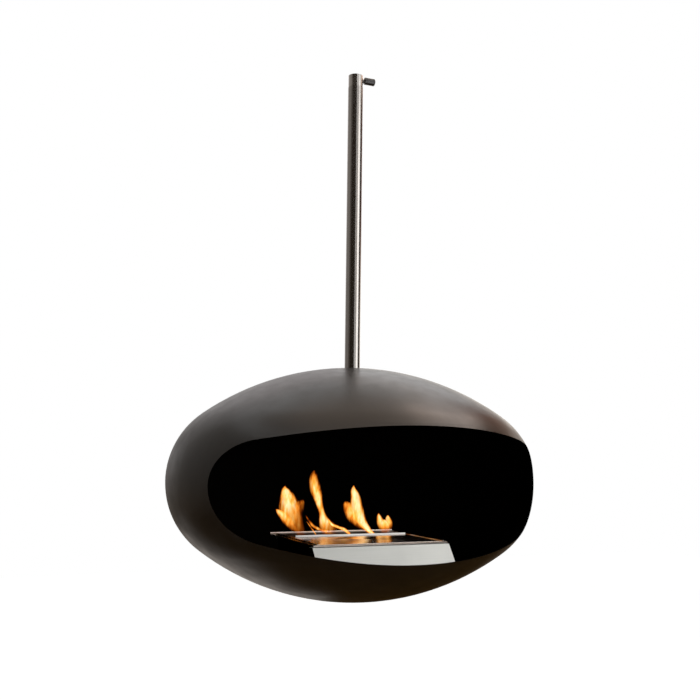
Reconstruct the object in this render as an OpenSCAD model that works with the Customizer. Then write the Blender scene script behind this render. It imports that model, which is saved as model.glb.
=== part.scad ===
// Hanging fireplace: a spun steel shell with a wide mouth, hung on a tube from a
// swivel head, with a lift-out ethanol burner standing in its bowl.
// Millimetres. +Z is up and the mouth faces -Y. The origin is the middle of the
// top face of the ceiling spigot, where the fireplace hangs.

/* [Shell] */
// Widest diameter of the shell, across its equator
shell_d = 900; // [800:10:1200]
// Height of the shell above its equator
shell_rise = 280; // [250:5:340]
// Depth of the shell below its equator
shell_drop = 286; // [260:5:340]
// Radius of the upper rim arc that runs into the equator
shell_rim_r_up = 200; // [170:5:215]
// Radius of the lower rim arc that runs into the equator
shell_rim_r_low = 202; // [170:5:215]
// Thickness of the spun sheet
shell_wall = 3; // [2:0.5:5]
// Diameter of the flat pressed into the crown for the pole to stand on
crown_flat_d = 48; // [42:1:80]

/* [Mouth] */
// Distance of the mouth's ends inside the shell's sides
mouth_side = 40; // [25:5:120]
// Rise of the mouth's upper edge above the equator
mouth_rise = 131; // [110:1:150]
// Drop of the mouth's lower edge below the equator
mouth_drop = 160; // [140:1:175]
// Corner radius of the mouth's upper half
mouth_end_r_up = 100; // [60:1:105]
// Corner radius of the mouth's lower half
mouth_end_r_low = 123; // [60:1:130]

/* [Pole] */
// Outside diameter of the pole
pole_d = 38.1; // [36:0.1:46]
// Wall of the pole tube
pole_wall = 2; // [1.5:0.5:3]
// Length of the pole tube between the head and the crown
pole_len = 722; // [300:1:1500]
// Length of the solid plug in the pole's foot
foot_plug_len = 45; // [35:1:80]
// Thread diameter of the tie stud that holds the shell to the pole
stud_d = 16; // [12:1:18]
// Diameter of the reinforcing disc under the crown
crown_disc_d = 150; // [100:5:200]
// Thickness of the reinforcing disc at its edge
crown_disc_edge = 4; // [3:0.5:8]

/* [Swivel head] */
// Step from the pole in to the swivel head
head_step = 0.5; // [0:0.25:1]
// Height of the swivel head above the pole
head_h = 32; // [30:1:50]
// Length of the head's skirt inside the pole
head_skirt = 18; // [12:1:40]
// Diameter of the fixed spigot that the head turns on
spigot_d = 20; // [18:0.5:21]
// Diameter of the spigot's flange, which carries the weight
flange_d = 28; // [26.5:0.5:28.5]
// Thickness of the spigot's flange
flange_t = 4; // [3:0.5:6]
// Thickness of the bronze washer on the flange
thrust_t = 3; // [2:0.5:4]
// Thickness of the head's shoulder over the washer
shoulder_t = 17; // [16:0.5:20]
// Thread diameter of the ceiling stud that screws into the spigot
ceiling_thread_d = 12; // [8:1:12]
// Depth of the ceiling stud's hole
ceiling_bore_depth = 18; // [10:1:20]
// How far the fixed spigot stands above the turning head
spigot_proud = 1; // [0.5:0.5:2]

/* [Swivel lock] */
// Diameter of the locking knob
knob_d = 18; // [14:1:18]
// Length of the locking knob
knob_len = 27.5; // [15:0.5:40]
// Distance of the lock's axis below the top of the head
lock_drop = 9.2; // [9.2:0.1:10]
// Diameter of the locking screw
lock_screw_d = 6; // [4:0.5:6.5]
// Thickness of the pad that presses on the spigot
lock_pad_t = 2.5; // [2:0.5:3.5]
// Length of the tapered boss that carries the screw
lock_boss_len = 5.5; // [4:0.5:10]

/* [Burner] */
// Width of the burner's top plate
burner_w = 336; // [300:2:380]
// Depth of the burner's top plate, front to back
burner_depth = 300; // [290:2:320]
// Distance of the plate's front edge behind the shell's front
burner_set_in = 264; // [255:1:280]
// Distance of the plate's top face below the shell's equator
burner_sink = 134; // [125:1:145]
// Thickness of the top plate
plate_t = 2; // [1.5:0.5:3]
// Height of the upstand along the plate's back edge
upstand_h = 5; // [3:0.5:10]
// Depth of the flame slot, front to back
slot_depth = 100; // [60:2:104]
// Distance of the slot's ends inside the plate's edges
slot_side = 23; // [22:1:60]
// Distance of the slot's back edge from the plate's back edge
slot_back = 16; // [14:1:20]
// Distance of the lid's sides inside the plate's edges
lid_inset = 10; // [8:0.5:12]
// How far the lid guides reach over the lid
guide_lip = 4; // [2:0.5:5]
// Thickness of the lid guides' sheet
guide_t = 1.2; // [1:0.1:1.4]
// Thickness of the sliding lid
lid_t = 2; // [1.5:0.5:2]
// Height of the grip folded up along the lid's back edge
lid_grip_h = 5; // [3:0.5:12]

/* [Burner casing] */
// Height of the burner's casing
casing_h = 58; // [50:1:62]
// Thickness of the casing and reservoir sheet
sheet_t = 1.5; // [1:0.25:2]
// Distance of the casing's sides inside the plate's edge
casing_inset = 18; // [17:1:20]
// Distance of the casing's front wall behind the plate's front edge
casing_setback = 21; // [19:1:30]
// Width of the flanges turned out along the casing's sides
casing_flange = 11; // [10:0.5:12]
// Thickness of the absorbent block
wool_h = 34; // [20:1:36]
// Diameter of the holes in the retaining grid
grid_hole_d = 9; // [6:0.5:10]
// Distance from hole to hole in the retaining grid
grid_pitch = 14; // [12:1:20]

/* [Fascia] */
// How far the sloping front plate stands out past the top plate at each side
fascia_over = 3; // [0:1:12]
// Thickness of the sloping front plate
fascia_t = 1.5; // [1:0.25:2.5]
// Lean of the front plate from upright, in degrees
fascia_lean = 38; // [25:1:45]
// Shadow gap between the top plate and the front plate
fascia_gap = 2; // [1:0.5:4]
// Depth of the front plate's folded-back edges
fascia_return = 12; // [8:1:20]

/* [Cradle] */
// Thickness of the cradle's plates
cradle_t = 4; // [3:0.5:6]
// Distance of the cradle's sides inside the casing
cradle_side = 20; // [10:1:30]
// Distance of the front saddle behind the top plate's front edge
cradle_front = 66; // [50:1:80]
// Distance of the rear saddle in front of the top plate's back edge
cradle_back = 44; // [30:1:60]
// Width of the saddles' top flanges and of the bars
cradle_flange = 26; // [24:1:30]
// Diameter of the rubber pads under the burner
pad_d = 22; // [14:1:22]
// Thickness of the rubber pads
pad_t = 3; // [2:0.5:5]

/* [Hidden] */
$fn = 64;

// clearances
run_gap = 0.1;     // between a shaft and the bore it turns in
fit_gap = 0.1;     // between parts that fit into each other
seat_gap = 0.2;    // between a curved part and the curved seat it is welded to
lock_gap = 0.3;    // between the pad and the spigot when the lock is set
slide_gap = 0.3;   // round the sliding lid
cut = 1;           // how far a cutter runs past what it cuts

// levels
head_bottom = -head_h;
crown_z = head_bottom - pole_len;          // top of the shell
eq_z = crown_z - shell_rise;               // equator of the shell
shell_r = shell_d / 2;

// centre height and radius of a big arc that runs tangent into an end arc
function big_r(a, b, r) = ((a - r) * (a - r) + b * b - r * r) / (2 * (b - r));
bowl_r = big_r(shell_r, shell_drop, shell_rim_r_low);
bowl_in_r = bowl_r - shell_wall;
bowl_centre_z = eq_z - shell_drop + bowl_r;
dome_r = big_r(shell_r, shell_rise, shell_rim_r_up);
dome_in_r = dome_r - shell_wall;
dome_centre_z = crown_z - dome_r;
function dome_under(r) = dome_centre_z + sqrt(dome_in_r * dome_in_r - r * r);

mouth_w = shell_d - 2 * mouth_side;

// pole and its foot
pole_in_d = pole_d - 2 * pole_wall;
crown_flat_z = dome_centre_z + sqrt(dome_r * dome_r - crown_flat_d * crown_flat_d / 4);
stud_hole_d = stud_d + 1;
crown_under_z = crown_flat_z - shell_wall;
disc_under_z = dome_under(crown_disc_d / 2) - crown_disc_edge;
foot_washer_d = 2.5 * stud_d;
foot_washer_t = 4;
foot_nut_w = 1.5 * stud_d;                 // across flats
foot_nut_h = 0.8 * stud_d;
lock_nut_h = 0.5 * stud_d;
stud_top_z = crown_flat_z + foot_plug_len - 10;
stud_end_z = disc_under_z - foot_washer_t - foot_nut_h - lock_nut_h - 5;

// swivel head
head_d = pole_d - 2 * head_step;
neck_bore_d = spigot_d + 2 * run_gap;
chamber_d = flange_d + 1;
washer_top = -shoulder_t - run_gap;
flange_top = washer_top - thrust_t;
spigot_bottom = flange_top - flange_t;
lock_bore_d = lock_screw_d + 2 * run_gap;
pad_in_x = spigot_d / 2 + lock_gap;
screw_in_x = pad_in_x + lock_pad_t;
boss_end_x = head_d / 2 + lock_boss_len;
boss_root_x = head_d / 2 - 3.5;            // the boss's cone starts inside the head
boss_root_d = 17;
knob_in_x = boss_end_x + 0.5;
knob_socket = 12;

// burner
plate_top = eq_z - burner_sink;
plate_under = plate_top - plate_t;
front_y = burner_set_in - shell_r;
back_y = front_y + burner_depth;
slot_back_y = back_y - slot_back;
slot_front_y = slot_back_y - slot_depth;
slot_w = burner_w - 2 * slot_side;
slot_overlap = 6;
lid_w = burner_w - 2 * lid_inset;
lid_back_y = slot_front_y - slot_overlap;
lid_front_y = front_y + 2;
lid_depth = lid_back_y - lid_front_y;
lid_travel = slot_depth + slot_overlap + 2;
lid_under = plate_top + slide_gap;
guide_len = burner_depth - slot_back - 2;
casing_w = burner_w - 2 * casing_inset;
casing_front_y = front_y + casing_setback;
casing_back_y = back_y - 6;
casing_depth = casing_back_y - casing_front_y;
casing_bottom = plate_under - casing_h;
reservoir_w = slot_w + 4;
reservoir_depth = slot_depth + 8;
reservoir_front_y = slot_front_y - 4;
reservoir_bottom = casing_bottom + sheet_t;
reservoir_floor = reservoir_bottom + sheet_t;
wool_gap = 0.5;
wool_w = reservoir_w - 2 * sheet_t - 2 * wool_gap;
wool_depth = reservoir_depth - 2 * sheet_t - 2 * wool_gap;
wool_front_y = reservoir_front_y + sheet_t + wool_gap;
wool_top = reservoir_floor + wool_h;
grid_t = 1.5;
screw_d = 4;
screw_nut_w = 7;
screw_nut_h = 3.2;
screw_sunk_d = 7;
screw_head_d = 8;
screw_head_h = 2.2;
plate_screw_x = casing_w / 2 + screw_sunk_d / 2 + 0.5;
plate_screw_front_y = casing_front_y + 14;
plate_screw_back_y = casing_back_y - 5;
fascia_w = burner_w + 2 * fascia_over;
fascia_top = plate_under - fascia_gap;
fascia_front_y = front_y - 2;
fascia_tab_h = 14;
fascia_screw_z = fascia_top - fascia_tab_h / 2 - fascia_t / 2;
fascia_screw_step = casing_w / 3;

// cradle
cradle_w = casing_w - 2 * cradle_side;
cradle_top = casing_bottom - pad_t - fit_gap;
bar_top = cradle_top - cradle_t;
bar_w = 16;
bar_x = cradle_w / 2 - bar_w - 4;          // middle of a bar
pad_x = bar_x - bar_w / 2 - pad_d;         // middle of a pad
front_saddle_y = front_y + cradle_front;
rear_saddle_y = back_y - cradle_back;
bolt_d = 6;
bolt_sunk_d = 11;
bolt_nut_w = 10;
bolt_nut_h = 5;

steel = "silver";
dark_steel = "dimgray";
black = "#1a1512";
brass_tone = "darkgoldenrod";

// ---- shared shapes ---------------------------------------------------------

// Upper half of a four-centre oval: half width a, height b, end arcs of radius r.
module oval_half(a, b, r) {
    apex = b - big_r(a, b, r);
    reach = 2 * (a + b);
    slope = -apex / (a - r);
    intersection() {
        translate([0, apex]) circle(r = b - apex, $fn = 240);
        polygon([[-(a - r), 0], [a - r, 0], [a - r + reach, slope * reach],
                 [-(a - r) - reach, slope * reach]]);
    }
    intersection() {
        for (s = [-1, 1]) translate([s * (a - r), 0]) circle(r = r, $fn = 180);
        translate([-a - cut, 0]) square([2 * (a + cut), r + cut]);
    }
}

// A closed half oval turned round Z: one solid half of the shell's body.
module oval_dome(a, b, r) {
    rotate_extrude($fn = 240)
        intersection() {
            oval_half(a, b, r);
            square([a + cut, b + cut]);
        }
}

// The mouth's outline, pushed through the front of the shell.
module mouth_cutter() {
    translate([0, 0, eq_z]) rotate([90, 0, 0])
        linear_extrude(height = shell_r + cut) {
            oval_half(mouth_w / 2, mouth_rise, mouth_end_r_up);
            mirror([0, 1]) oval_half(mouth_w / 2, mouth_drop, mouth_end_r_low);
        }
}

// The space inside the bowl's lower skin, less a clearance.
module bowl_space(gap) {
    translate([0, 0, bowl_centre_z]) sphere(r = bowl_in_r - gap, $fn = 240);
}

// A plain box given by its two corners.
module block(lo, hi) {
    translate(lo) cube(hi - lo);
}

// An open-topped sheet tray with its floor at z and its lower corner at x, y.
module tray(x, y, z, w, d, h, t) {
    difference() {
        translate([x, y, z]) cube([w, d, h]);
        translate([x + t, y + t, z + t]) cube([w - 2 * t, d - 2 * t, h]);
    }
}

// A hexagon nut across flats w, its underside at z = 0.
module hex_nut(w, h, bore) {
    difference() {
        cylinder(d = w / cos(30), h = h, $fn = 6);
        translate([0, 0, -cut]) cylinder(d = bore, h = h + 2 * cut);
    }
}

// A countersunk screw hanging down from z = 0, where its head's top lies.
module sunk_screw(d, head_d, len) {
    head_h = (head_d - d) / 2;
    translate([0, 0, -head_h]) cylinder(d1 = d, d2 = head_d, h = head_h, $fn = 32);
    translate([0, 0, -len]) cylinder(d = d, h = len - head_h, $fn = 32);
}

// The hole for such a screw, through a sheet of thickness t whose top is at z = 0.
module sunk_hole(d, head_d, t) {
    head_h = (head_d - d) / 2;
    translate([0, 0, -head_h]) cylinder(d1 = d + 2 * fit_gap, d2 = head_d + 2 * fit_gap, h = head_h, $fn = 32);
    translate([0, 0, -t - cut]) cylinder(d = d + 2 * fit_gap, h = t + 2 * cut, $fn = 32);
}

// ---- swivel head -----------------------------------------------------------

// The fixed spigot: a turned pin whose flange carries the whole fireplace.
module ceiling_spigot() {
    color(steel) difference() {
        union() {
            translate([0, 0, spigot_bottom]) cylinder(d = spigot_d, h = -spigot_bottom);
            translate([0, 0, spigot_bottom]) cylinder(d = flange_d, h = flange_t);
        }
        translate([0, 0, -ceiling_bore_depth])
            cylinder(d = ceiling_thread_d + 2 * fit_gap, h = ceiling_bore_depth + cut);
    }
}

// The bronze washer on the flange, which the head's shoulder turns on.
module thrust_washer() {
    color(brass_tone) difference() {
        translate([0, 0, flange_top]) cylinder(d = flange_d, h = thrust_t);
        translate([0, 0, flange_top - cut]) cylinder(d = neck_bore_d + 0.4, h = thrust_t + 2 * cut);
    }
}

// The head that turns on the spigot, with a boss for the lock and a skirt in the pole.
module swivel_head() {
    skirt_d = pole_in_d - 2 * fit_gap;
    color(steel) difference() {
        union() {
            translate([0, 0, head_bottom]) cylinder(d = head_d, h = head_h - spigot_proud, $fn = 96);
            translate([0, 0, head_bottom - head_skirt]) cylinder(d = skirt_d, h = head_skirt + cut, $fn = 96);
            translate([boss_root_x, 0, -lock_drop]) rotate([0, 90, 0])
                cylinder(d1 = boss_root_d, d2 = lock_bore_d + 3, h = boss_end_x - boss_root_x, $fn = 48);
        }
        translate([0, 0, -shoulder_t - cut]) cylinder(d = neck_bore_d, h = shoulder_t + 2 * cut, $fn = 96);
        translate([0, 0, head_bottom - head_skirt - cut])
            cylinder(d = chamber_d, h = head_skirt + cut + head_h - shoulder_t, $fn = 96);
        translate([0, 0, -lock_drop]) rotate([0, 90, 0]) cylinder(d = lock_bore_d, h = boss_end_x + cut);
    }
}

// The brass pad at the screw's tip.
module lock_pad() {
    color(brass_tone) translate([pad_in_x, 0, -lock_drop]) rotate([0, 90, 0])
        cylinder(d = lock_screw_d - 0.4, h = lock_pad_t);
}

// The locking screw, seated in the knob.
module lock_screw() {
    color(steel) translate([screw_in_x, 0, -lock_drop]) rotate([0, 90, 0])
        cylinder(d = lock_screw_d, h = knob_in_x + knob_socket - screw_in_x);
}

// The hand knob, a turned cylinder with chamfered ends and a grip groove at each end.
module lock_knob() {
    edge = 1;
    groove = 0.6;
    groove_w = 1.2;
    groove_in = 4;
    r = knob_d / 2;
    color(dark_steel) translate([knob_in_x, 0, -lock_drop]) rotate([0, 90, 0])
        difference() {
            rotate_extrude($fn = 72) polygon([
                [0, 0], [r - edge, 0], [r, edge],
                [r, groove_in], [r - groove, groove_in],
                [r - groove, groove_in + groove_w], [r, groove_in + groove_w],
                [r, knob_len - groove_in - groove_w], [r - groove, knob_len - groove_in - groove_w],
                [r - groove, knob_len - groove_in], [r, knob_len - groove_in],
                [r, knob_len - edge], [r - edge, knob_len], [0, knob_len]
            ]);
            translate([0, 0, -cut]) cylinder(d = lock_screw_d + 2 * fit_gap, h = knob_socket + cut);
        }
}

// ---- pole ------------------------------------------------------------------

module pole_tube() {
    color(steel) translate([0, 0, crown_flat_z]) difference() {
        cylinder(d = pole_d, h = head_bottom - crown_flat_z, $fn = 120);
        translate([0, 0, -cut]) cylinder(d = pole_in_d, h = head_bottom - crown_flat_z + 2 * cut, $fn = 120);
    }
}

// The solid plug in the pole's foot, tapped for the tie stud.
module pole_foot_plug() {
    color(dark_steel) difference() {
        translate([0, 0, crown_flat_z]) cylinder(d = pole_in_d - 2 * fit_gap, h = foot_plug_len);
        translate([0, 0, crown_flat_z - cut])
            cylinder(d = stud_d + 2 * fit_gap, h = stud_top_z - crown_flat_z + cut + fit_gap);
    }
}

// The stud that ties the pole to the shell.
module tie_stud() {
    color(dark_steel) translate([0, 0, stud_end_z]) cylinder(d = stud_d, h = stud_top_z - stud_end_z);
}

// The disc under the crown: its top follows the dome, with a flat under the crown's flat.
module crown_disc() {
    color(dark_steel) difference() {
        intersection() {
            translate([0, 0, dome_centre_z]) sphere(r = dome_in_r - seat_gap, $fn = 240);
            translate([0, 0, disc_under_z])
                cylinder(d = crown_disc_d, h = crown_under_z - disc_under_z, $fn = 120);
        }
        translate([0, 0, disc_under_z - cut]) cylinder(d = stud_hole_d, h = 40);
    }
}

module foot_washer() {
    color(steel) translate([0, 0, disc_under_z - foot_washer_t]) difference() {
        cylinder(d = foot_washer_d, h = foot_washer_t);
        translate([0, 0, -cut]) cylinder(d = stud_hole_d, h = foot_washer_t + 2 * cut);
    }
}

module foot_nut() {
    color(steel) translate([0, 0, disc_under_z - foot_washer_t - foot_nut_h])
        hex_nut(foot_nut_w, foot_nut_h, stud_d + 2 * fit_gap);
}

module foot_lock_nut() {
    color(steel) translate([0, 0, disc_under_z - foot_washer_t - foot_nut_h - lock_nut_h])
        hex_nut(foot_nut_w, lock_nut_h, stud_d + 2 * fit_gap);
}

// ---- shell -----------------------------------------------------------------

// The upper spinning, with the crown's flat, the stud's hole and the mouth's upper half.
module upper_shell() {
    color(black) difference() {
        translate([0, 0, eq_z]) difference() {
            oval_dome(shell_r, shell_rise, shell_rim_r_up);
            translate([0, 0, -cut]) cylinder(r = shell_r - shell_wall, h = cut, $fn = 240);
            intersection() {
                oval_dome(shell_r - shell_wall, shell_rise - shell_wall, shell_rim_r_up - shell_wall);
                cylinder(r = shell_r, h = crown_under_z - eq_z);
            }
        }
        translate([0, 0, crown_flat_z]) cylinder(d = 2 * crown_flat_d, h = shell_wall);
        translate([0, 0, crown_under_z - 20]) cylinder(d = stud_hole_d, h = 40);
        mouth_cutter();
    }
}

// The lower spinning: the bowl, with the mouth's lower half.
module lower_shell() {
    color(black) difference() {
        translate([0, 0, eq_z]) mirror([0, 0, 1]) difference() {
            oval_dome(shell_r, shell_drop, shell_rim_r_low);
            translate([0, 0, -cut]) cylinder(r = shell_r - shell_wall, h = cut, $fn = 240);
            oval_dome(shell_r - shell_wall, shell_drop - shell_wall, shell_rim_r_low - shell_wall);
        }
        mouth_cutter();
    }
}

// ---- cradle ----------------------------------------------------------------

// One saddle: an upright plate cut to the bowl, with a flange folded over its top.
// The flange runs from the plate towards side (+1 back, -1 front).
module saddle(y, side) {
    window_w = cradle_w / 3;
    window_h = 22;
    window_top = cradle_top - cradle_t - 18;
    color(dark_steel) difference() {
        intersection() {
            union() {
                block([-cradle_w / 2, y - cradle_t / 2, eq_z - shell_drop], [cradle_w / 2, y + cradle_t / 2, cradle_top]);
                block([-cradle_w / 2, y + (side > 0 ? -cradle_t / 2 : cradle_t / 2 - cradle_flange), bar_top],
                      [cradle_w / 2, y + (side > 0 ? cradle_flange - cradle_t / 2 : cradle_t / 2), cradle_top]);
            }
            bowl_space(seat_gap);
        }
        for (s = [-1, 1])
            translate([s * (window_w / 2 + 9) - window_w / 2, y - cradle_t, window_top - window_h])
                cube([window_w, 2 * cradle_t, window_h]);
        for (s = [-1, 1])
            translate([s * bar_x, bolt_y(y, side), cradle_top]) sunk_hole(bolt_d, bolt_sunk_d, cradle_t);
    }
}
function bolt_y(y, side) = y + side * (cradle_flange / 2);

module front_saddle() { saddle(front_saddle_y, 1); }
module rear_saddle() { saddle(rear_saddle_y, -1); }

// The two flat bars that tie the saddles together under their flanges.
module cradle_bars() {
    y0 = front_saddle_y + cradle_t / 2 + fit_gap;
    y1 = rear_saddle_y - cradle_t / 2 - fit_gap;
    color(dark_steel) for (s = [-1, 1]) difference() {
        translate([s * bar_x - bar_w / 2, y0, bar_top - cradle_t]) cube([bar_w, y1 - y0, cradle_t]);
        for (end = [bolt_y(front_saddle_y, 1), bolt_y(rear_saddle_y, -1)])
            translate([s * bar_x, end, bar_top - cradle_t - cut])
                cylinder(d = bolt_d + 2 * fit_gap, h = cradle_t + 2 * cut, $fn = 32);
    }
}

// Places its children at the cradle's four bolts.
module at_cradle_bolts() {
    for (s = [-1, 1], y = [bolt_y(front_saddle_y, 1), bolt_y(rear_saddle_y, -1)])
        translate([s * bar_x, y, 0]) children();
}

// Countersunk bolts, flush with the flanges so that the casing stays clear of them.
module cradle_bolts() {
    color(steel) at_cradle_bolts() translate([0, 0, cradle_top])
        sunk_screw(bolt_d, bolt_sunk_d, 2 * cradle_t + bolt_nut_h + 2);
}

module cradle_nuts() {
    color(steel) at_cradle_bolts() translate([0, 0, bar_top - cradle_t - bolt_nut_h])
        hex_nut(bolt_nut_w, bolt_nut_h, bolt_d + 2 * fit_gap);
}

// Four pads that the casing stands on.
module rubber_pads() {
    color("#202020") for (s = [-1, 1], y = [bolt_y(front_saddle_y, 1), bolt_y(rear_saddle_y, -1)])
        translate([s * pad_x, y, cradle_top]) cylinder(d = pad_d, h = pad_t);
}

// ---- burner ----------------------------------------------------------------

// The black casing: a tray with a flange turned out along each side.
module burner_casing() {
    x = casing_w / 2;
    color(black) difference() {
        union() {
            tray(-x, casing_front_y, casing_bottom, casing_w, casing_depth, casing_h, sheet_t);
            for (s = [-1, 1])
                translate([s > 0 ? x : -x - casing_flange, casing_front_y, plate_under - sheet_t])
                    cube([casing_flange, casing_depth, sheet_t]);
        }
        at_plate_screws() translate([0, 0, plate_under - sheet_t - cut])
            cylinder(d = screw_d + 2 * fit_gap, h = sheet_t + 2 * cut, $fn = 32);
        at_fascia_screws() cylinder(d = screw_d + 2 * fit_gap, h = 6 * sheet_t, center = true, $fn = 32);
    }
}

// The stainless reservoir that holds the fuel.
module fuel_reservoir() {
    color(steel) tray(-reservoir_w / 2, reservoir_front_y, reservoir_bottom, reservoir_w, reservoir_depth,
                      plate_under - fit_gap - reservoir_bottom, sheet_t);
}

// The absorbent block that soaks up the fuel.
module absorbent_block() {
    color("whitesmoke") translate([-wool_w / 2, wool_front_y, reservoir_floor]) cube([wool_w, wool_depth, wool_h]);
}

// The punched grid that holds the block down.
module retaining_grid() {
    across = floor((wool_w - grid_pitch) / grid_pitch);
    along = floor((wool_depth - grid_pitch / 2) / grid_pitch);
    color(steel) difference() {
        translate([-wool_w / 2, wool_front_y, wool_top]) cube([wool_w, wool_depth, grid_t]);
        for (i = [0 : across - 1], j = [0 : along - 1])
            translate([(i - (across - 1) / 2) * grid_pitch,
                       wool_front_y + wool_depth / 2 + (j - (along - 1) / 2) * grid_pitch, wool_top - cut])
                cylinder(d = grid_hole_d, h = grid_t + 2 * cut, $fn = 24);
    }
}

// Places its children at the four screws of the top plate.
module at_plate_screws() {
    for (s = [-1, 1], y = [plate_screw_front_y, plate_screw_back_y])
        translate([s * plate_screw_x, y, 0]) children();
}

// The polished top plate, with the flame slot and an upstand along its back edge.
module top_plate() {
    color(steel) difference() {
        union() {
            block([-burner_w / 2, front_y, plate_under], [burner_w / 2, back_y, plate_top]);
            block([-burner_w / 2, back_y - plate_t, plate_top - cut], [burner_w / 2, back_y, plate_top + upstand_h]);
        }
        block([-slot_w / 2, slot_front_y, plate_under - cut], [slot_w / 2, slot_back_y, plate_top + cut]);
        at_plate_screws() translate([0, 0, plate_top]) sunk_hole(screw_d, screw_sunk_d, plate_t);
    }
}

// The two folded guides that the lid runs in.
module lid_guides() {
    lip_under = lid_under + lid_t + slide_gap;
    web_in = lid_w / 2 + slide_gap;
    lip_in = lid_w / 2 - guide_lip;
    color(steel) for (s = [-1, 1]) mirror([s < 0 ? 1 : 0, 0, 0]) {
        block([web_in, front_y, plate_top], [web_in + guide_t, front_y + guide_len, lip_under + guide_t]);
        block([web_in, front_y, plate_top], [burner_w / 2, front_y + guide_len, plate_top + guide_t]);
        block([lip_in, front_y, lip_under], [web_in + guide_t, front_y + guide_len, lip_under + guide_t]);
    }
}

// Countersunk screws through the top plate, flush with its face.
module plate_screws() {
    color(steel) at_plate_screws() translate([0, 0, plate_top]) sunk_screw(screw_d, screw_sunk_d, 10);
}

module plate_nuts() {
    color(steel) at_plate_screws() translate([0, 0, plate_under - sheet_t - screw_nut_h])
        hex_nut(screw_nut_w, screw_nut_h, screw_d + 2 * fit_gap);
}

// The sliding lid that closes the flame slot, with a grip folded up along its back edge.
module sliding_lid() {
    grip_w = lid_w - 2 * guide_lip - 16;
    color(steel) {
        block([-lid_w / 2, lid_front_y, lid_under], [lid_w / 2, lid_back_y, lid_under + lid_t]);
        block([-grip_w / 2, lid_back_y - lid_t, lid_under], [grip_w / 2, lid_back_y, lid_under + lid_t + lid_grip_h]);
    }
}

// ---- fascia ----------------------------------------------------------------

// Places its children at the fascia's fixing screws, along Y.
module at_fascia_screws() {
    for (i = [-1 : 1]) translate([i * fascia_screw_step, casing_front_y, fascia_screw_z]) rotate([90, 0, 0]) children();
}

// The brushed front plate: one sheet folded from a tab on the casing over a ledge
// and down the slope, its lower edge cut to the bowl.
module front_fascia() {
    reach = casing_h + 60;
    run = reach * tan(fascia_lean);
    across = fascia_t / cos(fascia_lean);
    tab_y = casing_front_y - fit_gap;
    half = fascia_w / 2;
    color(steel) intersection() {
        difference() {
            union() {
                // slope
                translate([half, 0, 0]) rotate([90, 0, -90]) linear_extrude(height = fascia_w)
                    polygon([[-fascia_front_y, fascia_top], [-fascia_front_y + run, fascia_top - reach],
                             [-fascia_front_y + run - across, fascia_top - reach], [-fascia_front_y - across, fascia_top]]);
                // ledge
                block([-half, fascia_front_y, fascia_top - fascia_t], [half, tab_y, fascia_top]);
                // tab
                block([-half, tab_y - fascia_t, fascia_top - fascia_tab_h], [half, tab_y, fascia_top]);
                // folded-back edges
                for (s = [-1, 1]) translate([s > 0 ? half : -half + fascia_t, 0, 0]) rotate([90, 0, -90])
                    linear_extrude(height = fascia_t)
                        polygon([[-fascia_front_y, fascia_top], [-fascia_front_y + run, fascia_top - reach],
                                 [-fascia_front_y + run - fascia_return, fascia_top - reach],
                                 [-fascia_front_y - fascia_return, fascia_top]]);
            }
            at_fascia_screws() cylinder(d = screw_d + 2 * fit_gap, h = 8 * fascia_t, center = true, $fn = 32);
        }
        bowl_space(2);
    }
}

// Pan-head screws from inside the casing, through the fascia's tab.
module fascia_screws() {
    color(steel) at_fascia_screws() {
        translate([0, 0, -sheet_t]) cylinder(d = screw_d, h = 9, $fn = 32);
        translate([0, 0, -sheet_t - screw_head_h]) cylinder(d = screw_head_d, h = screw_head_h, $fn = 32);
    }
}

module fascia_nuts() {
    color(steel) at_fascia_screws() translate([0, 0, fit_gap + fascia_t])
        hex_nut(screw_nut_w, screw_nut_h, screw_d + 2 * fit_gap);
}

ceiling_spigot();
thrust_washer();
swivel_head();
lock_pad();
lock_screw();
lock_knob();
pole_tube();
pole_foot_plug();
tie_stud();
upper_shell();
lower_shell();
crown_disc();
foot_washer();
foot_nut();
foot_lock_nut();
front_saddle();
rear_saddle();
cradle_bars();
cradle_bolts();
cradle_nuts();
rubber_pads();
burner_casing();
fuel_reservoir();
absorbent_block();
retaining_grid();
top_plate();
lid_guides();
plate_screws();
plate_nuts();
sliding_lid();
front_fascia();
fascia_screws();
fascia_nuts();
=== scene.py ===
"""Looks of a hanging ethanol fireplace.

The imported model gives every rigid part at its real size. This script dresses those parts with
procedural finishes, rounds the sheet edges that show, adds the flames, and sets up the studio
and the camera. Lengths are metres in the part's own frame: +Z is up, the mouth faces -Y and the
origin is the top of the ceiling spigot.
"""

import logging
import math
from dataclasses import dataclass, field
from enum import Enum
from typing import Callable, Sequence

import bmesh
import bpy
from mathutils import Matrix, Vector

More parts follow.
